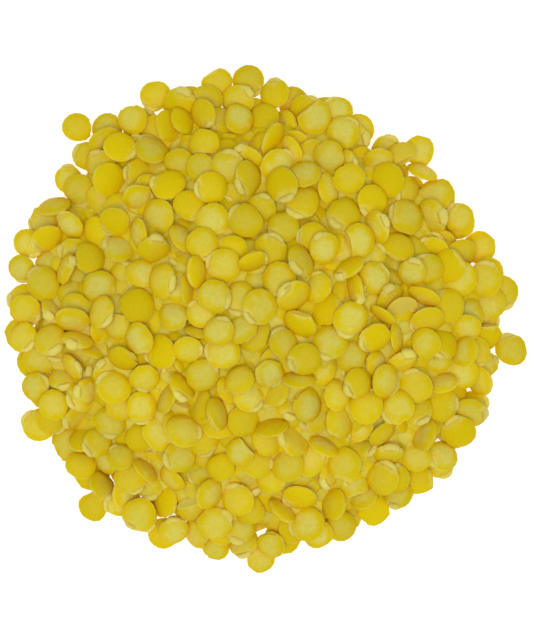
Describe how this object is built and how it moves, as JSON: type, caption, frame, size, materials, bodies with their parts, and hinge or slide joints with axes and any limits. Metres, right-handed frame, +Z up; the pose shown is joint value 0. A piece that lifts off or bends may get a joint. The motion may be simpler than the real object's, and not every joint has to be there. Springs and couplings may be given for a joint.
{
  "type": "heap of dry yellow lentils",
  "caption": "Loose low heap of dry, husked yellow lentils, poured out on a flat surface, with an uneven round outline and single lentils lying out at its edge.",
  "frame": {"origin": "middle of the heap's bounding box, on the surface that it lies on", "axes": "+Z up. +X along the heap's longest way across, and +Y across it, so that seen from above +X is to the right and +Y is away"},
  "size_m": [0.0758, 0.0737, 0.0155],
  "materials": {
    "lentil": "dry husked yellow lentils, matte and slightly floury, golden at the rim and paler on the faces, with a cream germ tip on many",
    "lentil_core": "the lentils deep in the heap, a darker gold"
  },
  "bodies": {
    "root": {"lentil_heap": "lentil"}
  },
  "joints": []
}
